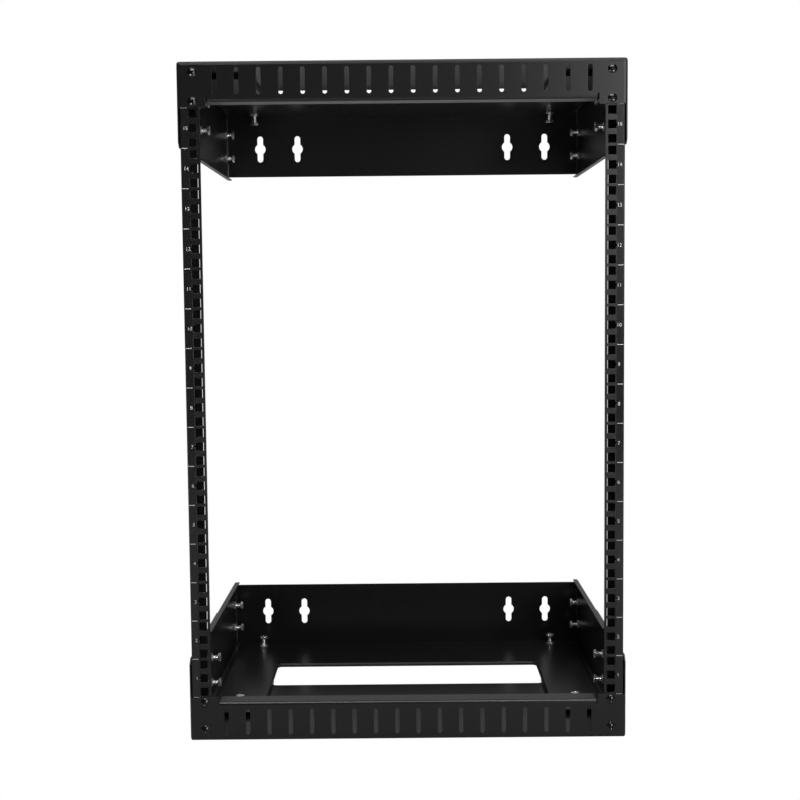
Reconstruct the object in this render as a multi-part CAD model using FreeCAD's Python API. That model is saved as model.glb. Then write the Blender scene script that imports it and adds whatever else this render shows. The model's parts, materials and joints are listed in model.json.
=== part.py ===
import FreeCAD, Part
import math
import os

# Open wall rack with two posts: folded steel trays at the top and bottom carry the posts in
# front and a wall plate behind, and a deck and two side plates join each tray to its plate.
# Millimetres. X runs to the right, Y away from the front, Z up from the floor.
# Everything below is modelled for the bottom and the right, and mirrored for the rest.

Vector = FreeCAD.Vector

# Rack standard
unit_height = 44.45
unit_count = 15
unit_holes = (6.35, 22.225, 38.1)
hole_column_spacing = 465.1
hole_inset = 7.55
rail_hole = 9.5
pointer_width = 3.6
pointer_reach = 1.6

# Overall size, beside what follows from the units and the hole columns
frame_depth = 413.0
fascia_height = 50.8

# Sheet metal
sheet = 1.5
bend = 3.0
tray_bend = 4.5
bend_facets = 3
bend_clearance = 0.2

# Posts
post_sheet = 2.0
post_bend = 2.0
post_width = 22.0
post_depth = 40.0
post_rear_flange = 12.8
post_side_gap = 1.5
post_end_gap = 0.5

# Front trays
wing_height = 94.0
wing_chamfer = 6.0
lip_depth = 24.0
lip_setback = 5.8
lip_end_gap = 9.0
lip_relief = 2.0
slot_count = 18
slot_end_margin = 8.175
slot_width = 5.0
slot_length = 30.0
slot_middle = 22.0
notch_front = 213.0
tray_arm = 17.5

# Decks
deck_front = 82.0
deck_side_gap = 7.0
deck_rise = 4.5
deck_arm = 64.0
deck_rear_gap = 0.8
cable_opening_length = 80.5
cable_opening_corner = 6.0

# Side plates
side_plate_front = 120.0
side_plate_top = 96.75
side_lip = 7.5
foot_stud_gap = 14.5

# Wall plates
wall_plate_height = 92.0
wall_flange = 46.0
keyhole_spacings = (296.0, 401.0)
keyhole_middle = 53.2
keyhole_round = 15.0
keyhole_slot = 8.1
keyhole_length = 36.5
keyhole_sides = 20

# Fasteners; shanks and heads have few sides because there are many
shank_sides = 8
head_sides = 12
nut_sides = 6
bolt_size = 6.0
bolt_hole = 6.6
bolt_reach = 13.5
bolt_head = 12.0
bolt_head_height = 3.0
bolt_head_bevel = 1.4
nut_flats = 10.0
nut_height = 3.4
thread_clearance = 0.05
spare_hole = 5.0
front_bolt_heights = (26.0, 58.0)
rear_bolt_heights = (36.0, 68.0)
side_bolt_margin = 24.0
rear_bolt_inset = 27.0
stud_inset = 35.0
stud_margin = 18.0
stud_reach = 15.5
stud_shoulder = 10.0

# Worked out from the sizes above: across
hole_column = hole_column_spacing / 2
post_inside = hole_column - hole_inset
post_outside = post_inside + post_width
side_inside = post_outside + post_side_gap - sheet
side_outside = side_inside + sheet
half_width = side_outside + sheet
lip_half_length = post_inside - lip_end_gap
slot_pitch = 2 * (lip_half_length - slot_end_margin) / (slot_count - 1)
deck_half_width = side_inside - deck_side_gap
cable_opening_half_width = deck_half_width - deck_arm
stud_across = deck_half_width - stud_inset
side_foot_edge = stud_across + stud_shoulder / 2 + foot_stud_gap
nut_corners = 2 * nut_flats / math.sqrt(3)

# From front to back
front_face = -frame_depth / 2
post_face = front_face + sheet
wall_back = frame_depth / 2
wall_face = wall_back - sheet
tray_notch = post_face + notch_front
tray_back = tray_notch + tray_arm
cable_opening_rear = tray_notch + cable_opening_length
front_bolts = post_face + side_plate_front + side_bolt_margin
front_studs = post_face + deck_front + stud_margin
rear_bolts = wall_face - rear_bolt_inset

# Upwards
frame_height = unit_count * unit_height + 2 * fascia_height
inner_bend = bend - sheet
lip_height = fascia_height - lip_setback
lip_start = lip_height - 2 * bend
tray_inner_bend = tray_bend - sheet
foot_top = 2 * sheet
deck_underside = sheet + deck_rise
deck_top = deck_underside + sheet


# Shapes from outlines

def outline_face(corners, place):
    """Face bounded by straight runs with tangent arcs; each corner is (u, v, radius)."""
    count = len(corners)
    stops = []
    for index in range(count):
        u, v, radius = corners[index]
        here = Vector(u, v, 0)
        if radius == 0:
            stops.append((here, here, here))
            continue
        before = Vector(*corners[index - 1][:2], 0) - here
        after = Vector(*corners[(index + 1) % count][:2], 0) - here
        half_angle = before.getAngle(after) / 2
        before.normalize()
        after.normalize()
        towards = before + after
        towards.normalize()
        reach = radius / math.tan(half_angle)
        crest = here + towards * (radius / math.sin(half_angle) - radius)
        stops.append((here + before * reach, crest, here + after * reach))
    edges = []
    for index in range(count):
        start, crest, end = stops[index]
        following = stops[(index + 1) % count][0]
        if corners[index][2] > 0:
            edges.append(Part.Arc(place(start), place(crest), place(end)).toShape())
        if end.distanceToPoint(following) > 1e-6:
            edges.append(Part.LineSegment(place(end), place(following)).toShape())
    return Part.Face(Part.Wire(edges))


def along_x(corners, low, high):
    """Prism along X of an outline in Y and Z."""
    face = outline_face(corners, lambda p: Vector(low, p.x, p.y))
    return face.extrude(Vector(high - low, 0, 0))


def along_y(corners, low, high):
    """Prism along Y of an outline in X and Z."""
    face = outline_face(corners, lambda p: Vector(p.x, low, p.y))
    return face.extrude(Vector(0, high - low, 0))


def along_z(corners, low, high):
    """Prism along Z of an outline in X and Y."""
    face = outline_face(corners, lambda p: Vector(p.x, p.y, low))
    return face.extrude(Vector(0, 0, high - low))


def block(x0, x1, y0, y1, z0, z1):
    return Part.makeBox(x1 - x0, y1 - y0, z1 - z0, Vector(x0, y0, z0))


def rectangle(u, v, width, height, radius=0):
    """Corners of a rectangle about a middle point."""
    left, right = u - width / 2, u + width / 2
    low, high = v - height / 2, v + height / 2
    return [(left, low, radius), (right, low, radius), (right, high, radius), (left, high, radius)]


def folded(corners):
    """The same outline with each radius turned into a few flats, for the long bends of a sheet."""
    count = len(corners)
    result = []
    for index in range(count):
        u, v, radius = corners[index]
        if radius == 0:
            result.append((u, v, 0))
            continue
        here = Vector(u, v, 0)
        before = Vector(*corners[index - 1][:2], 0) - here
        after = Vector(*corners[(index + 1) % count][:2], 0) - here
        before.normalize()
        after.normalize()
        for step in range(bend_facets + 1):
            turn = math.pi / 2 * step / bend_facets
            point = here + before * (radius * (1 - math.sin(turn))) + after * (radius * (1 - math.cos(turn)))
            result.append((point.x, point.y, 0))
    return result


def polygon(u, v, diameter, sides, first=0.5):
    """Corners of a regular polygon about a middle point, the first one a part of a step round."""
    turns = [2 * math.pi * (n + first) / sides for n in range(sides)]
    return [(u + diameter / 2 * math.cos(turn), v + diameter / 2 * math.sin(turn), 0) for turn in turns]


def bevel_edges(solid, size, wanted):
    """Bevels the edges whose middle points pass a test."""
    edges = []
    for edge in solid.Edges:
        middle = edge.valueAt((edge.FirstParameter + edge.LastParameter) / 2)
        if wanted(middle):
            edges.append(edge)
    return solid.makeChamfer(size, edges)


def near(value, target):
    return abs(value - target) < 1e-4


def other_side(shape):
    return shape.mirror(Vector(0, 0, 0), Vector(1, 0, 0))


def other_end(shape):
    return shape.mirror(Vector(0, 0, frame_height / 2), Vector(0, 0, 1))


def both_sides(shape):
    return [shape, other_side(shape)]


# Posts

def rail_hole_cutter(height, pointed):
    """Square hole through the front flange; the middle one of a unit points at its number."""
    half = rail_hole / 2
    outline = rectangle(hole_column, height, rail_hole, rail_hole)
    if pointed:
        tip = hole_column + half + pointer_reach
        pointer = [(hole_column + half, height - pointer_width / 2, 0), (tip, height, 0),
                   (hole_column + half, height + pointer_width / 2, 0)]
        outline[2:2] = pointer
    return along_y(outline, post_face - post_sheet, post_face + 2 * post_sheet)


def right_post():
    """Channel open to the middle, with the holes for equipment in its front flange."""
    inside = post_inside
    back = post_face + post_depth
    rear_edge = post_outside - post_rear_flange
    web = post_outside - post_sheet
    inner = post_bend - post_sheet
    section = [(inside, post_face, 0), (post_outside, post_face, post_bend), (post_outside, back, post_bend),
               (rear_edge, back, 0), (rear_edge, back - post_sheet, 0), (web, back - post_sheet, inner),
               (web, post_face + post_sheet, inner), (inside, post_face + post_sheet, 0)]
    low = tray_bend + post_end_gap
    post = along_z(folded(section), low, frame_height - low)
    cutters = []
    for unit in range(unit_count):
        for offset in unit_holes:
            height = fascia_height + unit * unit_height + offset
            cutters.append(rail_hole_cutter(height, offset == unit_holes[1]))
    return post.cut(Part.makeCompound(cutters))


# Front trays

def folded_corner(fold, free, height):
    """Open box of folded sheet: a floor, two sides and one upright, which stands at Y fold."""
    inward = 1 if free > fold else -1

    def shell(inset, radius):
        crease = fold + inward * inset
        far = free + inward * inset
        side = half_width - inset
        top = height + inset
        from_side = [(crease, inset, radius), (far, inset, 0), (far, top, 0), (crease, top, 0)]
        from_front = [(-side, inset, radius), (side, inset, radius), (side, top, 0), (-side, top, 0)]
        from_above = [(-side, crease, radius), (side, crease, radius), (side, far, 0), (-side, far, 0)]
        solid = along_x(folded(from_side), -side, side)
        solid = solid.common(along_y(folded(from_front), min(crease, far), max(crease, far)))
        return solid.common(along_z(folded(from_above), inset, top))

    return shell(0, tray_bend).cut(shell(sheet, tray_inner_bend))


def fascia_slots():
    cutters = []
    for index in range(slot_count):
        across = (index - (slot_count - 1) / 2) * slot_pitch
        outline = rectangle(across, slot_middle, slot_width, slot_length, slot_width / 2)
        cutters.append(along_y(folded(outline), front_face - sheet, front_face + 2 * sheet))
    return cutters


def fascia_lip():
    """The fascia's inner edge, folded back into a lip between the end tabs."""
    back = front_face + lip_depth
    underside = lip_height - sheet
    section = [(front_face, lip_start, 0), (front_face, lip_height, bend), (back, lip_height, 0),
               (back, underside, 0), (post_face, underside, inner_bend), (post_face, lip_start, 0)]
    return along_x(folded(section), -lip_half_length, lip_half_length)


def front_tray():
    tray = folded_corner(front_face, tray_back, wing_height)
    wing_front = front_face + tray_bend
    before = front_face - sheet
    beyond = wing_height + sheet
    above = [(before, fascia_height, 0), (wing_front, fascia_height, 0),
             (wing_front, wing_height - wing_chamfer, 0), (wing_front + wing_chamfer, wing_height, 0),
             (wing_front + wing_chamfer, beyond, 0), (before, beyond, 0)]
    relief = lip_half_length + lip_relief
    cutters = fascia_slots()
    cutters.append(along_x(above, -half_width - sheet, half_width + sheet))
    cutters.append(block(-relief, relief, before, post_face + sheet, lip_start, wing_height))
    notch_back = tray_back + sheet
    notch_side = cable_opening_half_width
    notch = [(-notch_side, tray_notch, cable_opening_corner), (notch_side, tray_notch, cable_opening_corner),
             (notch_side, notch_back, 0), (-notch_side, notch_back, 0)]
    cutters.append(along_z(notch, -sheet, 2 * sheet))
    for height in front_bolt_heights:
        cutters += both_sides(side_bolt_hole(front_bolts, height))
    cutters += both_sides(stud_hole(front_studs))
    return tray.cut(Part.makeCompound(cutters)).fuse(fascia_lip()).removeSplitter()


# Wall plates

def keyhole_cutter(across):
    """Round hole with a slot above and below it, for hanging on a screw either way up."""
    before = wall_face - sheet
    beyond = wall_back + sheet
    slot = rectangle(across, keyhole_middle, keyhole_slot, keyhole_length, keyhole_slot / 2)
    hole = polygon(across, keyhole_middle, keyhole_round, keyhole_sides)
    return along_y(folded(slot), before, beyond).fuse(along_y(hole, before, beyond))


def wall_plate():
    plate = folded_corner(wall_back, wall_back - wall_flange, wall_plate_height)
    cutters = []
    for spacing in keyhole_spacings:
        cutters += [keyhole_cutter(spacing / 2), keyhole_cutter(-spacing / 2)]
    for height in rear_bolt_heights:
        cutters += both_sides(side_bolt_hole(rear_bolts, height))
    cutters += both_sides(stud_hole(rear_bolts))
    return plate.cut(Part.makeCompound(cutters))


# Decks

def deck_outline(inset, front, back):
    """Plan of the deck: a panel behind and an arm along each side of the cable opening."""
    wide = deck_half_width - inset
    inner = cable_opening_half_width + inset
    rear = cable_opening_rear + inset
    corner = max(cable_opening_corner - inset, sheet)
    return [(-wide, front, 0), (-inner, front, 0), (-inner, rear, corner), (inner, rear, corner),
            (inner, front, 0), (wide, front, 0), (wide, back, 0), (-wide, back, 0)]


def deck():
    """Panel with hems turned down along its sides and round the cable opening."""
    front = post_face + deck_front
    back = wall_face - deck_rear_gap

    def layer(inset, front_end, back_end, top, bevel):
        solid = along_z(deck_outline(inset, front_end, back_end), foot_top - inset, top)

        def is_fold(point):
            return near(point.z, top) and front_end + sheet < point.y < back_end - sheet

        return bevel_edges(solid, bevel, is_fold)

    flat = 2 - math.sqrt(2)
    body = layer(0, front, back, deck_top, bend * flat)
    hollow = layer(sheet, front - 2 * sheet, back + 2 * sheet, deck_underside, inner_bend * flat)
    cutters = both_sides(stud_hole(front_studs)) + both_sides(stud_hole(rear_bolts))
    return body.cut(hollow).cut(Part.makeCompound(cutters))


# Side plates

def right_side_plate():
    """Upright side with a foot under the deck and a lip along its free edge."""
    foot = side_foot_edge
    lip = side_outside - side_lip
    section = [(foot, sheet, 0), (side_outside, sheet, bend), (side_outside, side_plate_top, bend),
               (lip, side_plate_top, 0), (lip, side_plate_top - sheet, 0),
               (side_inside, side_plate_top - sheet, inner_bend), (side_inside, foot_top, inner_bend),
               (foot, foot_top, 0)]
    back = wall_face - tray_inner_bend - bend_clearance
    plate = along_y(folded(section), post_face + side_plate_front, back)
    cutters = []
    for along, height in side_bolt_places():
        cutters.append(side_bolt_hole(along, height))
    for height in spare_hole_heights():
        outline = polygon(rear_bolts, height, spare_hole, head_sides)
        cutters.append(along_x(outline, side_inside - sheet, half_width))
    return plate.cut(Part.makeCompound(cutters))


def spare_hole_heights():
    """Holes left free between and beyond the rear bolts."""
    low, high = rear_bolt_heights
    half_step = (high - low) / 2
    return [low - half_step, low + half_step, high + half_step]


# Fasteners

def side_bolt_places():
    front = [(front_bolts, height) for height in front_bolt_heights]
    return front + [(rear_bolts, height) for height in rear_bolt_heights]


def side_bolt_hole(along, height):
    return along_x(polygon(along, height, bolt_hole, shank_sides), side_inside - sheet, half_width + sheet)


def stud_hole(along):
    return along_z(polygon(stud_across, along, bolt_hole, shank_sides), -sheet, deck_top + sheet)


def side_bolt(along, height):
    """Bolt from outside, through the wing or the wall plate's flange and the side plate."""
    crown = half_width + bolt_head_height
    head = along_x(polygon(along, height, bolt_head, head_sides), half_width, crown)
    head = bevel_edges(head, bolt_head_bevel, lambda point: near(point.x, crown))
    shank = along_x(polygon(along, height, bolt_size, shank_sides), side_inside - bolt_reach, half_width)
    return shank.fuse(head).removeSplitter()


def side_nut(along, height, inside):
    """Nut on a side bolt, at the given distance from the side plate."""
    outline = polygon(along, height, nut_corners, nut_sides)
    thread = polygon(along, height, bolt_size + 2 * thread_clearance, shank_sides)
    near_end = side_inside - inside
    far_end = near_end - nut_height
    return along_x(outline, far_end, near_end).cut(along_x(thread, far_end, near_end))


def deck_stud(along):
    """Stud pressed flush into the sheet below, with a shoulder that carries the deck."""
    stud = along_z(polygon(stud_across, along, bolt_size, shank_sides), 0, deck_top + stud_reach)
    shoulder = along_z(polygon(stud_across, along, stud_shoulder, head_sides), sheet, deck_underside)
    return stud.fuse(shoulder).removeSplitter()


def deck_nut(along, above):
    """Nut on a deck stud, at the given height above the deck."""
    outline = polygon(stud_across, along, nut_corners, nut_sides, 0)
    thread = polygon(stud_across, along, bolt_size + 2 * thread_clearance, shank_sides)
    low = deck_top + above
    high = low + nut_height
    return along_z(outline, low, high).cut(along_z(thread, low, high))


# Files, one for each named piece

def write(name, solids):
    shape = solids[0] if len(solids) == 1 else Part.makeCompound(solids)
    shape.exportStep("parts/" + name + ".step")


def write_ends(name, solids):
    """A piece at the bottom and its mirror image at the top."""
    write("bottom_" + name, solids)
    write("top_" + name, [other_end(solid) for solid in solids])


def write_corners(name, solids):
    """A piece at the bottom right and its mirror images in the other corners."""
    write_ends("right_" + name, solids)
    write_ends("left_" + name, [other_side(solid) for solid in solids])


def main():
    os.makedirs("parts", exist_ok=True)
    post = right_post()
    write("right_post", [post])
    write("left_post", [other_side(post)])
    write_ends("front_tray", [front_tray()])
    write_ends("deck", [deck()])
    write_ends("wall_plate", [wall_plate()])
    write_corners("side_plate", [right_side_plate()])
    side_places = side_bolt_places()
    stud_places = (front_studs, rear_bolts)
    side_nut_places = (0, bolt_reach - nut_height)
    deck_nut_places = (0, stud_reach - nut_height)
    write_corners("side_bolts", [side_bolt(*place) for place in side_places])
    write_corners("side_nuts", [side_nut(*place, nut) for place in side_places for nut in side_nut_places])
    write_corners("deck_studs", [deck_stud(along) for along in stud_places])
    write_corners("deck_nuts", [deck_nut(along, nut) for along in stud_places for nut in deck_nut_places])


main()
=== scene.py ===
import json
import math

import bmesh
import bpy
from mathutils import Matrix, Vector


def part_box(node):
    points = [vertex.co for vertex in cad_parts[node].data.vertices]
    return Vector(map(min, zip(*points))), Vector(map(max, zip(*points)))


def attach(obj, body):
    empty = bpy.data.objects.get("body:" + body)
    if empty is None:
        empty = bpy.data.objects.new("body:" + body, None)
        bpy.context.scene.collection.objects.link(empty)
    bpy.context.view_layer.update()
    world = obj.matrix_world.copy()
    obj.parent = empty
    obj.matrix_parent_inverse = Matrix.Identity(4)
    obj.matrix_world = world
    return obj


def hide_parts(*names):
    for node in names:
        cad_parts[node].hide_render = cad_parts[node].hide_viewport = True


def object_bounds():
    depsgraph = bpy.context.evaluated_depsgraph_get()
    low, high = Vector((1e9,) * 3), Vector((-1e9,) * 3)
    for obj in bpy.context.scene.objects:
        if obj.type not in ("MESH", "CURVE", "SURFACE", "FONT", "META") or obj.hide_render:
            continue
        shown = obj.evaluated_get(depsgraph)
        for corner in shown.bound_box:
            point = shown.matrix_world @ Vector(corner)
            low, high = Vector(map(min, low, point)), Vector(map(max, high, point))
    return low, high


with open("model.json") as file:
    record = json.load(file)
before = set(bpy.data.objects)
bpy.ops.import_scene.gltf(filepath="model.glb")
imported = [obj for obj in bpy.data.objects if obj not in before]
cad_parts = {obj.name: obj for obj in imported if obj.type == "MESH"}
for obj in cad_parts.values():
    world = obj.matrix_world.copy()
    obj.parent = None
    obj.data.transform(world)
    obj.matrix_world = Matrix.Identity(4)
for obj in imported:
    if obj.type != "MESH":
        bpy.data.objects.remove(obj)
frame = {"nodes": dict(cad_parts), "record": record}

# Looks of the wall rack: powder coat, zinc hardware, printed unit marks, screws, studio and camera.
# Metres. X runs to the right, Y away from the front, Z up from the floor.

cad_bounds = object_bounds()
MM = 0.001

# Sizes read from the frame
post_low, post_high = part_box("right_post")
tray_low, tray_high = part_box("bottom_front_tray")
rack_height = cad_bounds[1].z
post_front = post_low.y
fascia_front = tray_low.y
hole_inset = 7.55 * MM
hole_column = post_low.x + hole_inset

# Sheets and the deck's height above them
sheet = 1.5 * MM
deck_rise = 4.5 * MM

# Rack standard
unit_height = 44.45 * MM
unit_count = 15
fascia_height = (rack_height - unit_count * unit_height) / 2

# Printed strip along the outer edge of each post
post_outside = post_high.x
strip_inner = post_outside - 8.7 * MM
strip_outer = post_outside - 1.6 * MM
strip_thickness = 0.12 * MM
ink_lift = 0.04 * MM
tick_inner = post_outside - 8.0 * MM
tick_outer = post_outside - 1.4 * MM
tick_thickness = 0.75 * MM
number_middle = post_outside - 6.1 * MM
number_height = 4.0 * MM
capital_share = 0.7

# Screws that hold the fascias to the posts
screw_drops = (6.35 * MM, 38.1 * MM)
screw_head = 10.4 * MM
screw_head_height = 2.4 * MM
recess_length = 6.0 * MM
recess_width = 1.7 * MM
recess_depth = 1.6 * MM
recess_taper = 0.4
recess_clearance = 0.2 * MM
screw_turn_step = 0.15
screw_turn_side = 0.1
round_sides = 32
sharp_angle = math.radians(35)

# Head outlines, as shares of the radius and the height
round_outline = ((1, 0), (1, 0.1), (0.8, 0.46), (0.6, 0.71), (0.4, 0.89), (0.2, 1))
dome_outline = ((1, 0), (1, 0.3), (0.9, 0.65), (0.7, 0.9), (0.4, 1))

# Threads and nuts
thread_pitch = 1.0 * MM
thread_depth = 0.3 * MM
thread_crest = 0.4 * MM
thread_root = 0.1 * MM
thread_sides = 24
bolt_radius = 3.0 * MM
nut_sides = 48
nut_flat_radius = 5.0 * MM
nut_crown_radius = 4.75 * MM
nut_bore_gap = 0.0375 * MM
nut_bevel = math.radians(30)
merge_distance = 0.001 * MM

# Camera, found from the unit marks
camera_place = Vector((-2.26, -1714.1, 508.85)) * MM
camera_pitch = math.radians(-4.479)
camera_yaw = math.radians(0.129)
camera_roll = math.radians(-0.541)
camera_lens = 60.476
camera_sensor = 36.0
camera_nearest = 10 * MM

# Studio sizes and strengths
studio_half_width = 8.0
backdrop_distance = 2.5
backdrop_strength = 0.31
world_strength = 0.075


# Materials

def new_material(name, color, roughness, metallic=0.0):
    material = bpy.data.materials.new(name)
    material.use_nodes = True
    shader = material.node_tree.nodes["Principled BSDF"]
    shader.inputs["Base Color"].default_value = (*color, 1)
    shader.inputs["Roughness"].default_value = roughness
    shader.inputs["Metallic"].default_value = metallic
    return material


def add_grain(material, scale, strength, distance, edge):
    """Fine bumps of the finish, in the object's own coordinates, over slightly rounded edges."""
    nodes, links = material.node_tree.nodes, material.node_tree.links
    rounded = nodes.new("ShaderNodeBevel")
    rounded.inputs["Radius"].default_value = edge
    place = nodes.new("ShaderNodeTexCoord")
    noise = nodes.new("ShaderNodeTexNoise")
    noise.inputs["Scale"].default_value = scale
    noise.inputs["Detail"].default_value = 2
    bump = nodes.new("ShaderNodeBump")
    bump.inputs["Strength"].default_value = strength
    bump.inputs["Distance"].default_value = distance
    links.new(place.outputs["Object"], noise.inputs["Vector"])
    links.new(noise.outputs["Fac"], bump.inputs["Height"])
    links.new(rounded.outputs["Normal"], bump.inputs["Normal"])
    links.new(bump.outputs["Normal"], nodes["Principled BSDF"].inputs["Normal"])


powder_coat = new_material("powder coat", (0.004, 0.004, 0.0043), roughness=0.28)
add_grain(powder_coat, scale=1600, strength=0.25, distance=0.05 * MM, edge=0.5 * MM)
zinc = new_material("zinc plate", (0.92, 0.93, 0.94), roughness=0.2, metallic=0.9)
add_grain(zinc, scale=2500, strength=0.1, distance=0.03 * MM, edge=0.4 * MM)
film = new_material("strip film", (0.008, 0.008, 0.009), roughness=0.16)
ink = new_material("printed ink", (0.52, 0.52, 0.52), roughness=0.6)
screw_black = new_material("black oxide", (0.05, 0.05, 0.052), roughness=0.18, metallic=1.0)

finishes = {"black_powder_coat": powder_coat, "zinc_plate": zinc}
for subpart in frame["record"]["subparts"]:
    node = frame["nodes"][subpart["node"]]
    node.data.materials.clear()
    node.data.materials.append(finishes[subpart["material_slot"]])


# Pieces

def add_piece(name, mesh_data, material):
    """Object from a bmesh, riding with the rack."""
    mesh = bpy.data.meshes.new(name)
    mesh_data.to_mesh(mesh)
    mesh_data.free()
    mesh.materials.append(material)
    piece = bpy.data.objects.new(name, mesh)
    bpy.context.scene.collection.objects.link(piece)
    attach(piece, "root")
    return piece


def add_box(mesh_data, low, high):
    """Box between two corners, added to a bmesh. Gives back its vertices."""
    size = high - low
    middle = (low + high) / 2
    place = Matrix.Translation(middle) @ Matrix.Diagonal((*size, 1))
    return bmesh.ops.create_cube(mesh_data, size=1, matrix=place)["verts"]


def number_mesh(text):
    """Mesh of a number lying in the XY plane, centred on the origin."""
    curve = bpy.data.curves.new("number", "FONT")
    curve.body = text
    curve.size = number_height / capital_share
    curve.align_x = "CENTER"
    holder = bpy.data.objects.new("number", curve)
    bpy.context.scene.collection.objects.link(holder)
    shown = holder.evaluated_get(bpy.context.evaluated_depsgraph_get())
    mesh = bpy.data.meshes.new_from_object(shown)
    bpy.data.objects.remove(holder)
    bpy.data.curves.remove(curve)
    return mesh


def unit_line(index):
    return fascia_height + index * unit_height


def add_strip(side, name):
    """Film along the post with a tick at each unit line and the unit's number between them."""
    ends = sorted((side * strip_inner, side * strip_outer))
    film_front = post_front - strip_thickness
    strip = bmesh.new()
    add_box(strip, Vector((ends[0], film_front, unit_line(0))),
            Vector((ends[1], post_front, unit_line(unit_count))))
    add_piece(name + "_unit_strip", strip, film)

    marks = bmesh.new()
    ends = sorted((side * tick_inner, side * tick_outer))
    for index in range(unit_count + 1):
        middle = unit_line(index)
        add_box(marks, Vector((ends[0], film_front - ink_lift, middle - tick_thickness / 2)),
                Vector((ends[1], film_front, middle + tick_thickness / 2)))
    add_piece(name + "_unit_ticks", marks, ink)

    numbers = bmesh.new()
    for index in range(unit_count):
        mesh = number_mesh(str(index + 1))
        low = unit_line(index) + (unit_height - number_height) / 2
        place = Matrix.Translation((side * number_middle, film_front - ink_lift, low))
        mesh.transform(place @ Matrix.Rotation(math.pi / 2, 4, "X"))
        numbers.from_mesh(mesh)
        bpy.data.meshes.remove(mesh)
    add_piece(name + "_unit_numbers", numbers, ink)


def lathe(mesh_data, profile, place, sides):
    """Turns a profile of (radius, height) about Z and moves it to its place."""
    rings = []
    turns = [2 * math.pi * step / sides for step in range(sides)]
    for radius, height in profile:
        points = [Vector((radius * math.cos(turn), radius * math.sin(turn), height)) for turn in turns]
        rings.append([mesh_data.verts.new(place @ point) for point in points])
    for lower, upper in zip(rings, rings[1:]):
        for step in range(sides):
            after = (step + 1) % sides
            mesh_data.faces.new((lower[step], lower[after], upper[after], upper[step]))
    mesh_data.faces.new(list(reversed(rings[0])))
    mesh_data.faces.new(rings[-1])


def scaled(outline, radius, height):
    """Profile for the lathe from an outline in shares."""
    return [(radius * out, height * up) for out, up in outline]


def smooth_rounds(piece):
    """Smooth shading except at sharp corners."""
    for face in piece.data.polygons:
        face.use_smooth = True
    piece.data.set_sharp_from_angle(angle=sharp_angle)


def screw_head_mesh():
    """Round head standing on the XY plane with a tapered cross cut into its crown."""
    head = bmesh.new()
    lathe(head, scaled(round_outline, screw_head / 2, screw_head_height), Matrix.Identity(4), round_sides)
    cutter = bmesh.new()
    floor = screw_head_height - recess_depth
    ceiling = screw_head_height + recess_clearance
    long_half, short_half = recess_length / 2, recess_width / 2
    for half_x, half_y in ((long_half, short_half), (short_half, long_half)):
        corners = add_box(cutter, Vector((-half_x, -half_y, floor)), Vector((half_x, half_y, ceiling)))
        for corner in corners:
            if corner.co.z < screw_head_height:
                corner.co.x *= recess_taper
                corner.co.y *= recess_taper
    return cut_mesh(head, cutter)


def cut_mesh(solid, cutter):
    """Mesh of one bmesh with another cut out of it."""
    holders = []
    for part in (solid, cutter):
        mesh = bpy.data.meshes.new("cut")
        part.to_mesh(mesh)
        part.free()
        holder = bpy.data.objects.new("cut", mesh)
        bpy.context.scene.collection.objects.link(holder)
        holders.append(holder)
    step = holders[0].modifiers.new("cut", "BOOLEAN")
    step.operation = "DIFFERENCE"
    step.solver = "EXACT"
    step.use_self = True
    step.object = holders[1]
    shown = holders[0].evaluated_get(bpy.context.evaluated_depsgraph_get())
    result = bpy.data.meshes.new_from_object(shown)
    for holder in holders:
        bpy.data.objects.remove(holder)
    return result


def add_fascia_screws(side, name, head):
    """Round heads on the front of both fascias, each turned a little differently."""
    screws = bmesh.new()
    heights = [fascia_height - drop for drop in screw_drops]
    heights += [rack_height - height for height in heights]
    for index, height in enumerate(heights):
        copy = head.copy()
        turn = screw_turn_step * index + screw_turn_side * side
        facing = Matrix.Rotation(math.pi / 2, 4, "X") @ Matrix.Rotation(turn, 4, "Z")
        copy.transform(Matrix.Translation((side * hole_column, fascia_front, height)) @ facing)
        screws.from_mesh(copy)
        bpy.data.meshes.remove(copy)
    smooth_rounds(add_piece(name + "_fascia_screws", screws, screw_black))


def islands(node):
    """Boxes of a node's separate solids."""
    mesh_data = bmesh.new()
    mesh_data.from_mesh(frame["nodes"][node].data)
    bmesh.ops.remove_doubles(mesh_data, verts=mesh_data.verts, dist=merge_distance)
    unseen = set(mesh_data.verts)
    boxes = []
    while unseen:
        reached = [unseen.pop()]
        for vertex in reached:
            for edge in vertex.link_edges:
                other = edge.other_vert(vertex)
                if other in unseen:
                    unseen.remove(other)
                    reached.append(other)
        low = Vector([min(v.co[axis] for v in reached) for axis in range(3)])
        high = Vector([max(v.co[axis] for v in reached) for axis in range(3)])
        boxes.append((low, high))
    mesh_data.free()
    return boxes


def threaded(length):
    """Profile of a threaded shank up to its bevelled end."""
    profile = [(bolt_radius, 0)]
    height = 0.0
    flank = (thread_pitch - thread_crest - thread_root) / 2
    root_radius = bolt_radius - thread_depth
    while height + thread_pitch < length - thread_pitch:
        root = height + thread_crest + flank
        profile.append((bolt_radius, height))
        profile.append((bolt_radius, height + thread_crest))
        profile.append((root_radius, root))
        profile.append((root_radius, root + thread_root))
        height += thread_pitch
    profile.append((bolt_radius, height))
    profile.append((bolt_radius, length - thread_depth))
    profile.append((bolt_radius - thread_depth, length))
    return profile


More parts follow.
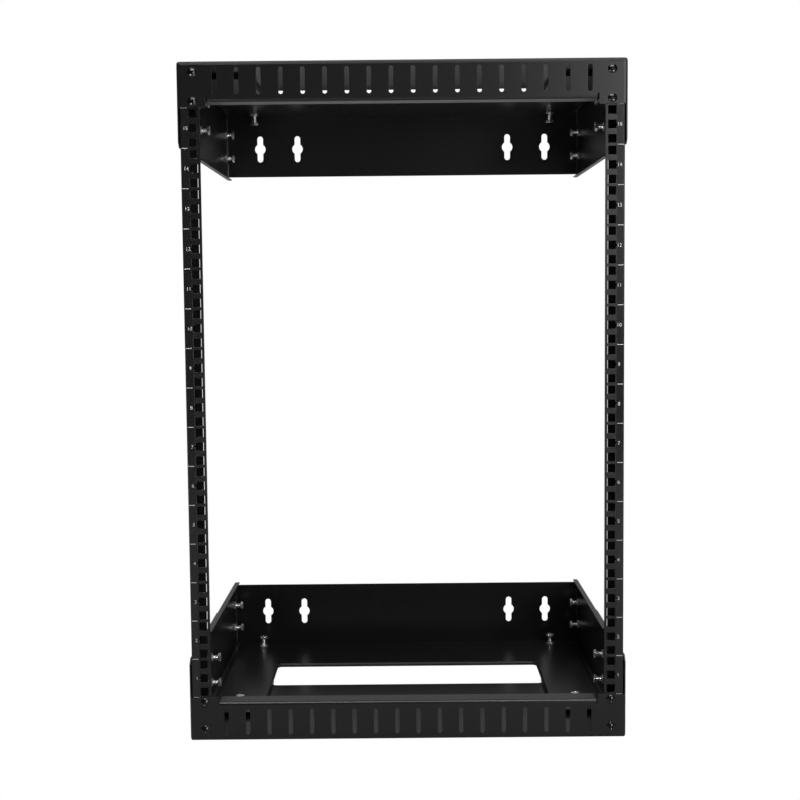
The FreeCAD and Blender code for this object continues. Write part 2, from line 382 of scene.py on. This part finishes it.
def add_nut(mesh_data, height, place):
    """Hexagon nut on the XY plane with its corners bevelled at both ends."""
    crown = nut_crown_radius
    bore = bolt_radius + nut_bore_gap
    loops = []
    for step in range(nut_sides):
        turn = 2 * math.pi * step / nut_sides
        off_flat = turn % (math.pi / 3) - math.pi / 6
        corner = nut_flat_radius / math.cos(off_flat)
        drop = (corner - crown) * math.tan(nut_bevel)
        rim = [(bore, 0), (crown, 0), (corner, drop),
               (corner, height - drop), (crown, height), (bore, height)]
        points = [Vector((r * math.cos(turn), r * math.sin(turn), z)) for r, z in rim]
        loops.append([mesh_data.verts.new(place @ point) for point in points])
    for step in range(nut_sides):
        here, after = loops[step], loops[(step + 1) % nut_sides]
        for index in range(len(here)):
            beyond = (index + 1) % len(here)
            mesh_data.faces.new((here[index], after[index], after[beyond], here[beyond]))


def standing_on(base, axis):
    """Place whose Z axis points along an axis from a base point."""
    return Matrix.Translation(base) @ Vector((0, 0, 1)).rotation_difference(axis).to_matrix().to_4x4()


def replace_node(node, mesh_data):
    bmesh.ops.recalc_face_normals(mesh_data, faces=mesh_data.faces)
    piece = add_piece("detailed_" + node, mesh_data, zinc)
    smooth_rounds(piece)
    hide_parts(node)


def side_axis(low):
    """Direction from the nearer side of the rack to its middle."""
    return Vector((-math.copysign(1, low.x), 0, 0))


def end_axis(low):
    """Direction from the nearer end of the rack to its middle height."""
    return Vector((0, 0, 1 if low.z < rack_height / 2 else -1))


def add_side_bolts(node):
    mesh_data = bmesh.new()
    for low, high in islands(node):
        axis = side_axis(low)
        middle = (low + high) / 2
        seat = Vector((-axis.x * tray_high.x, middle.y, middle.z))
        tip = low.x if axis.x < 0 else high.x
        lathe(mesh_data, threaded(abs(tip - seat.x)), standing_on(seat, axis), thread_sides)
        head_height = (high.x - low.x) - abs(tip - seat.x)
        radius = (high.z - low.z) / 2
        lathe(mesh_data, scaled(dome_outline, radius, head_height), standing_on(seat, -axis), round_sides)
    replace_node(node, mesh_data)


def add_deck_studs(node, shoulder_low, shoulder_high):
    mesh_data = bmesh.new()
    for low, high in islands(node):
        axis = end_axis(low)
        middle = (low + high) / 2
        foot = Vector((middle.x, middle.y, low.z if axis.z > 0 else high.z))
        place = standing_on(foot, axis)
        lathe(mesh_data, threaded(high.z - low.z), place, thread_sides)
        radius = (high.x - low.x) / 2
        lathe(mesh_data, [(radius, shoulder_low), (radius, shoulder_high)], place, round_sides)
    replace_node(node, mesh_data)


def add_nuts(node, find_axis, long_axis):
    mesh_data = bmesh.new()
    for low, high in islands(node):
        axis = find_axis(low)
        middle = (low + high) / 2
        height = (high - low)[long_axis]
        add_nut(mesh_data, height, standing_on(middle - axis * height / 2, axis))
    replace_node(node, mesh_data)


screw = screw_head_mesh()
for side, name in ((1, "right"), (-1, "left")):
    add_strip(side, name)
    add_fascia_screws(side, name, screw)
bpy.data.meshes.remove(screw)
for corner in ("bottom_left", "bottom_right", "top_left", "top_right"):
    add_side_bolts(corner + "_side_bolts")
    add_nuts(corner + "_side_nuts", side_axis, 0)
    add_deck_studs(corner + "_deck_studs", sheet, sheet + deck_rise)
    add_nuts(corner + "_deck_nuts", end_axis, 2)


# Studio

def add_plane(name, place, material):
    grid = bmesh.new()
    bmesh.ops.create_grid(grid, size=1, matrix=place)
    mesh = bpy.data.meshes.new(name)
    grid.to_mesh(mesh)
    grid.free()
    mesh.materials.append(material)
    piece = bpy.data.objects.new(name, mesh)
    bpy.context.scene.collection.objects.link(piece)


def white_to_camera(tree, dim, white, surface):
    """Shows the camera one shader and everything else another."""
    path = tree.nodes.new("ShaderNodeLightPath")
    mix = tree.nodes.new("ShaderNodeMixShader")
    tree.links.new(path.outputs["Is Camera Ray"], mix.inputs["Fac"])
    tree.links.new(dim, mix.inputs[1])
    tree.links.new(white, mix.inputs[2])
    tree.links.new(mix.outputs["Shader"], surface)


def floor_material():
    """Pale grey for the light, plain white to the camera."""
    material = new_material("floor", (0.5, 0.5, 0.5), roughness=0.9)
    tree = material.node_tree
    grey = tree.nodes["Principled BSDF"]
    white = tree.nodes.new("ShaderNodeEmission")
    surface = tree.nodes["Material Output"].inputs["Surface"]
    white_to_camera(tree, grey.outputs["BSDF"], white.outputs["Emission"], surface)
    return material


def backdrop_material(strength):
    """White to the camera, dim for the light and in reflections."""
    material = bpy.data.materials.new("backdrop")
    material.use_nodes = True
    tree = material.node_tree
    white = tree.nodes.new("ShaderNodeEmission")
    dim = tree.nodes.new("ShaderNodeEmission")
    dim.inputs["Strength"].default_value = strength
    surface = tree.nodes["Material Output"].inputs["Surface"]
    white_to_camera(tree, dim.outputs["Emission"], white.outputs["Emission"], surface)
    return material


def set_world(strength):
    """Dim surroundings for the light, plain white to the camera."""
    world = bpy.data.worlds.new("studio")
    bpy.context.scene.world = world
    world.use_nodes = True
    tree = world.node_tree
    dim = tree.nodes["Background"]
    dim.inputs["Strength"].default_value = strength
    dim.inputs["Color"].default_value = (1, 1, 1, 1)
    white = tree.nodes.new("ShaderNodeBackground")
    white.inputs["Color"].default_value = (1, 1, 1, 1)
    surface = tree.nodes["World Output"].inputs["Surface"]
    white_to_camera(tree, dim.outputs["Background"], white.outputs["Background"], surface)


def add_light(name, place, target, width, height, power, spread=180):
    """Rectangular softbox turned towards a point, with its beam's spread in degrees."""
    light = bpy.data.lights.new(name, "AREA")
    light.shape = "RECTANGLE"
    light.size = width
    light.size_y = height
    light.energy = power
    light.spread = math.radians(spread)
    lamp = bpy.data.objects.new(name, light)
    lamp.location = place
    lamp.rotation_euler = (target - place).to_track_quat("-Z", "Y").to_euler()
    bpy.context.scene.collection.objects.link(lamp)


rack_middle = Vector((0, 0, rack_height / 2))
rack_top = Vector((0, 0.1, rack_height))
top_underside = Vector((0, -0.07, rack_height))
square = Matrix.Diagonal((studio_half_width, studio_half_width, 1, 1))
upright = Matrix.Translation((0, backdrop_distance, 0)) @ Matrix.Rotation(math.pi / 2, 4, "X") @ square
add_plane("floor", square, floor_material())
add_plane("backdrop", upright, backdrop_material(backdrop_strength))
set_world(world_strength)
add_light("key softbox", Vector((1.25, -2.3, 1.15)), rack_middle, width=1.2, height=1.5, power=26)
add_light("overhead softbox", Vector((0.0, -0.6, 2.4)), rack_middle, width=2.0, height=1.6, power=17)
add_light("rear lamp", Vector((0.0, 1.5, 0.14)), top_underside,
          width=1.2, height=0.1, power=0.014, spread=24)
for side, name in ((1, "right"), (-1, "left")):
    glint_place = Vector((side * 0.5, -1.5, 2.6))
    low_place = Vector((side * 0.62, -0.95, 0.1))
    add_light(name + " glint lamp", glint_place, rack_middle, width=0.3, height=0.3, power=14)
    add_light(name + " low lamp", low_place, rack_top, width=0.3, height=0.3, power=0.35, spread=40)


# Camera

lens = bpy.data.cameras.new("camera")
lens.lens = camera_lens
lens.sensor_width = camera_sensor
lens.clip_start = camera_nearest
camera = bpy.data.objects.new("camera", lens)
level = Matrix.Rotation(math.pi / 2, 4, "X")
aim = Matrix.Rotation(camera_yaw, 4, "Z") @ Matrix.Rotation(camera_pitch, 4, "X")
camera.matrix_world = Matrix.Translation(camera_place) @ aim @ level @ Matrix.Rotation(camera_roll, 4, "Z")
bpy.context.scene.collection.objects.link(camera)
bpy.context.scene.camera = camera
bpy.context.scene.view_settings.view_transform = "Standard"
